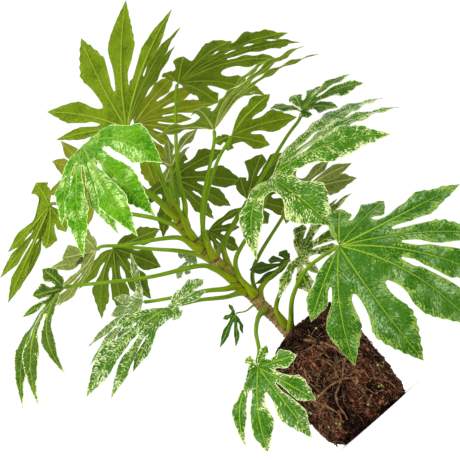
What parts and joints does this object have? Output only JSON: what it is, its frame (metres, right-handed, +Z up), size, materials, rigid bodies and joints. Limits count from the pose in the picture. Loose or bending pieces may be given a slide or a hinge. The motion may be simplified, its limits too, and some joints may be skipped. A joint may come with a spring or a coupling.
{
  "type": "fatsia japonica plant",
  "caption": "Variegated fatsia lifted from its pot: pot-shaped root ball, a scarred upright stem and palmate leaves with toothed lobes on long stalks.",
  "frame": {"origin": "middle of the root ball's flat bottom, where the plant rests", "axes": "+Z up along the stem; the side shown in the picture faces -Y, +X is its right"},
  "size_m": [0.5266, 0.3122, 0.5394],
  "materials": {
    "leaf_underside": "soft sheen, yellow-green underside with raised veins",
    "leaf_fresh": "glossy young leaf, light green with cream",
    "leaf_green": "waxy mid green with pale veins",
    "leaf_dark": "waxy dark green",
    "leaf_silvery": "waxy grey-green with a silvery sheen",
    "leaf_speckled": "waxy green with cream speckles and pale veins",
    "leaf_cream_edged": "waxy green with cream margins and speckles",
    "stem_bark": "matt green-brown young bark with ring scars",
    "root_soil": "damp dark compost bound with bark chips and fine roots"
  },
  "bodies": {
    "root": {"leaf_01": "leaf_underside", "leaf_02": "leaf_underside", "leaf_03": "leaf_underside", "leaf_04": "leaf_underside", "leaf_05": "leaf_fresh", "leaf_06": "leaf_underside", "leaf_07": "leaf_underside", "leaf_08": "leaf_underside", "leaf_09": "leaf_silvery", "leaf_10": "leaf_underside", "leaf_11": "leaf_underside", "leaf_12": "leaf_green", "leaf_13": "leaf_cream_edged", "leaf_14": "leaf_underside", "leaf_15": "leaf_underside", "leaf_16": "leaf_underside", "leaf_17": "leaf_green", "leaf_18": "leaf_speckled", "leaf_19": "leaf_cream_edged", "leaf_20": "leaf_dark", "leaf_21": "leaf_speckled", "leaf_22": "leaf_silvery", "leaf_23": "leaf_silvery", "leaf_24": "leaf_underside", "leaf_25": "leaf_cream_edged", "leaf_26": "leaf_underside", "stem": "stem_bark", "root_ball": "root_soil"}
  },
  "joints": []
}
